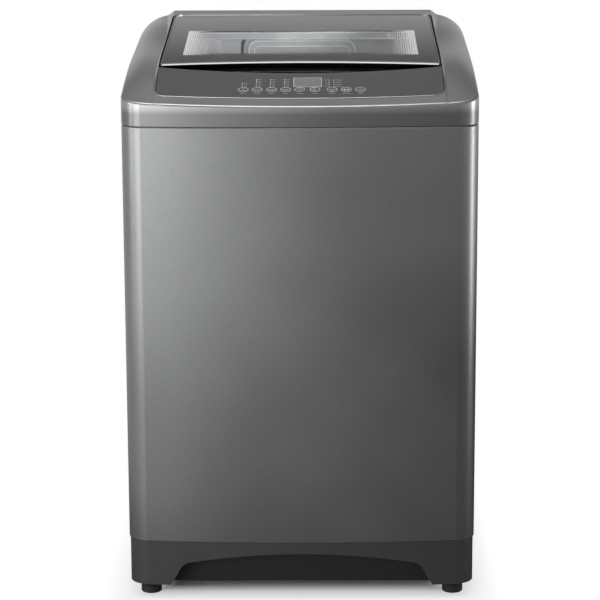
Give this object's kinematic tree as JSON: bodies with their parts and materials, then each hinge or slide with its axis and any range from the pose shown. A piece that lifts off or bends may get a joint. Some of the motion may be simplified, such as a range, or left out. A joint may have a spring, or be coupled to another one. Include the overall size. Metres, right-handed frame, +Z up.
{
  "type": "top load washing machine",
  "caption": "Top load washing machine with a bowed steel cabinet, sloping silver top, hinged glass lid, key panel with display, detergent drawer, hung tub, basket and pulsator.",
  "frame": {"origin": "on the floor, below the basket's axis, in the middle of the machine", "axes": "+Z up, -Y towards the front, +X to the machine's right as seen from the front"},
  "size_m": [0.67, 0.69, 1.073],
  "materials": {
    "cabinet_steel": "satin metallic paint",
    "rear_steel": "galvanised",
    "zinc_steel": "zinc plated",
    "base_plastic": "fine texture",
    "kick_plastic": "matt black",
    "foot_rubber": "matt",
    "cover_silver": "metallic silver",
    "fascia_dark": "gloss",
    "carrier_black": "gloss black",
    "circuit_board": "solder mask",
    "display_clear": "clear with pale segments below",
    "key_dark": "satin",
    "lid_dark": "gloss",
    "lid_glass": "tinted",
    "trim_bright": "metallised",
    "pin_steel": "ground",
    "stop_rubber": "matt",
    "well_grey": "gloss",
    "drawer_grey": "gloss",
    "lock_plastic": "fine texture",
    "valve_white": "plain",
    "tub_plastic": "plain",
    "gear_cast": "die cast",
    "motor_steel": "painted",
    "seal_rubber": "oiled",
    "spring_steel": "oiled",
    "basket_steel": "brushed stainless",
    "basket_plastic": "gloss",
    "filter_plastic": "gloss"
  },
  "bodies": {
    "cabinet": {"cabinet_wrap": "cabinet_steel", "rear_panel": "rear_steel", "panel_screws": "zinc_steel", "base_frame": "base_plastic", "kick_panel": "kick_plastic", "rear_feet": "foot_rubber", "top_cover": "cover_silver", "control_fascia": "fascia_dark", "console_carrier": "carrier_black", "control_board": "circuit_board", "display_window": "display_clear", "well_frame": "well_grey", "dispenser_housing": "well_grey", "lid_lock": "lock_plastic", "inlet_valves": "valve_white", "cord_gland": "lock_plastic", "drain_spigot": "lock_plastic", "corner_brackets": "zinc_steel", "suspension_rods": "zinc_steel"},
    "lid": {"lid_frame": "lid_dark", "lid_inner": "lid_dark", "lid_glass": "lid_glass", "lid_trim": "trim_bright", "hinge_pins": "pin_steel", "lid_bumpers": "stop_rubber"},
    "drawer": {"detergent_drawer": "drawer_grey"},
    "tub": {"outer_tub": "tub_plastic", "tub_ring": "tub_plastic", "base_plate": "zinc_steel", "gearcase": "gear_cast", "bearings": "pin_steel", "shaft_seal": "seal_rubber", "motor_housing": "motor_steel", "drain_valve": "lock_plastic", "damper_cups": "tub_plastic", "suspension_springs": "spring_steel", "drive_belt": "seal_rubber"},
    "basket": {"wash_basket": "basket_steel", "basket_base": "basket_plastic", "balance_ring": "basket_plastic", "lint_filters": "filter_plastic", "spin_shaft": "pin_steel"},
    "pulsator": {"pulsator": "basket_plastic", "pulsator_screw": "basket_plastic", "wash_shaft": "pin_steel"},
    "drive_pulley": {"drive_pulley": "gear_cast"},
    "motor_rotor": {"motor_shaft": "pin_steel", "motor_pulley": "gear_cast"},
    "front_foot_left": {"front_foot_left": "foot_rubber"},
    "front_foot_right": {"front_foot_right": "foot_rubber"},
    "key_1": {"key_1": "key_dark"},
    "key_2": {"key_2": "key_dark"},
    "key_3": {"key_3": "key_dark"},
    "key_4": {"key_4": "key_dark"},
    "key_5": {"key_5": "key_dark"},
    "key_6": {"key_6": "key_dark"},
    "key_7": {"key_7": "key_dark"},
    "key_8": {"key_8": "key_dark"},
    "key_9": {"key_9": "key_dark"}
  },
  "joints": [
    {"name": "lid_hinge", "type": "hinge", "parent": "cabinet", "child": "lid", "pos_m": [0, 0.28099, 1.06235], "axis": [-1, 0, 0], "range_deg": [0, 100]},
    {"name": "drawer_slide", "type": "slide", "parent": "cabinet", "child": "drawer", "axis": [0, -1, 0], "range_m": [0, 0.05]},
    {"name": "tub_bounce", "type": "slide", "parent": "cabinet", "child": "tub", "axis": [0, 0, 1], "range_m": [-0.012, 0.012], "stiffness_N_per_m": 15000, "springref_m": 0.02904, "deforming": ["suspension_springs"]},
    {"name": "basket_spin", "type": "hinge", "parent": "tub", "child": "basket", "pos_m": [0, 0, 0.3], "axis": [0, 0, 1], "continuous": true},
    {"name": "pulsator_turn", "type": "hinge", "parent": "tub", "child": "pulsator", "pos_m": [0, 0, 0.32], "axis": [0, 0, 1], "continuous": true},
    {"name": "drive_pulley_spin", "type": "hinge", "parent": "tub", "child": "drive_pulley", "pos_m": [0, 0, 0.122], "axis": [0, 0, 1], "continuous": true},
    {"name": "motor_spin", "type": "hinge", "parent": "tub", "child": "motor_rotor", "pos_m": [0.172, 0, 0.122], "axis": [0, 0, 1], "continuous": true},
    {"name": "front_foot_left_screw", "type": "slide", "parent": "cabinet", "child": "front_foot_left", "axis": [0, 0, -1], "range_m": [0, 0.012]},
    {"name": "front_foot_right_screw", "type": "slide", "parent": "cabinet", "child": "front_foot_right", "axis": [0, 0, -1], "range_m": [0, 0.012]},
    {"name": "key_1_press", "type": "slide", "parent": "cabinet", "child": "key_1", "axis": [0, 0.3338, -0.9426], "range_m": [0, 0.001], "stiffness_N_per_m": 1000, "springref_m": -0.0005},
    {"name": "key_2_press", "type": "slide", "parent": "cabinet", "child": "key_2", "axis": [0, 0.3338, -0.9426], "range_m": [0, 0.001], "stiffness_N_per_m": 1000, "springref_m": -0.0005},
    {"name": "key_3_press", "type": "slide", "parent": "cabinet", "child": "key_3", "axis": [0, 0.3338, -0.9426], "range_m": [0, 0.001], "stiffness_N_per_m": 1000, "springref_m": -0.0005},
    {"name": "key_4_press", "type": "slide", "parent": "cabinet", "child": "key_4", "axis": [0, 0.3338, -0.9426], "range_m": [0, 0.001], "stiffness_N_per_m": 1000, "springref_m": -0.0005},
    {"name": "key_5_press", "type": "slide", "parent": "cabinet", "child": "key_5", "axis": [0, 0.3338, -0.9426], "range_m": [0, 0.001], "stiffness_N_per_m": 1000, "springref_m": -0.0005},
    {"name": "key_6_press", "type": "slide", "parent": "cabinet", "child": "key_6", "axis": [0, 0.3338, -0.9426], "range_m": [0, 0.001], "stiffness_N_per_m": 1000, "springref_m": -0.0005},
    {"name": "key_7_press", "type": "slide", "parent": "cabinet", "child": "key_7", "axis": [0, 0.3338, -0.9426], "range_m": [0, 0.001], "stiffness_N_per_m": 1000, "springref_m": -0.0005},
    {"name": "key_8_press", "type": "slide", "parent": "cabinet", "child": "key_8", "axis": [0, 0.3338, -0.9426], "range_m": [0, 0.001], "stiffness_N_per_m": 1000, "springref_m": -0.0005},
    {"name": "key_9_press", "type": "slide", "parent": "cabinet", "child": "key_9", "axis": [0, 0.3338, -0.9426], "range_m": [0, 0.001], "stiffness_N_per_m": 1000, "springref_m": -0.0005}
  ],
  "couplings": [
    {"joint": "drive_pulley_spin", "follows": "pulsator_turn", "ratio": 5},
    {"joint": "motor_spin", "follows": "pulsator_turn", "ratio": 19.167}
  ]
}
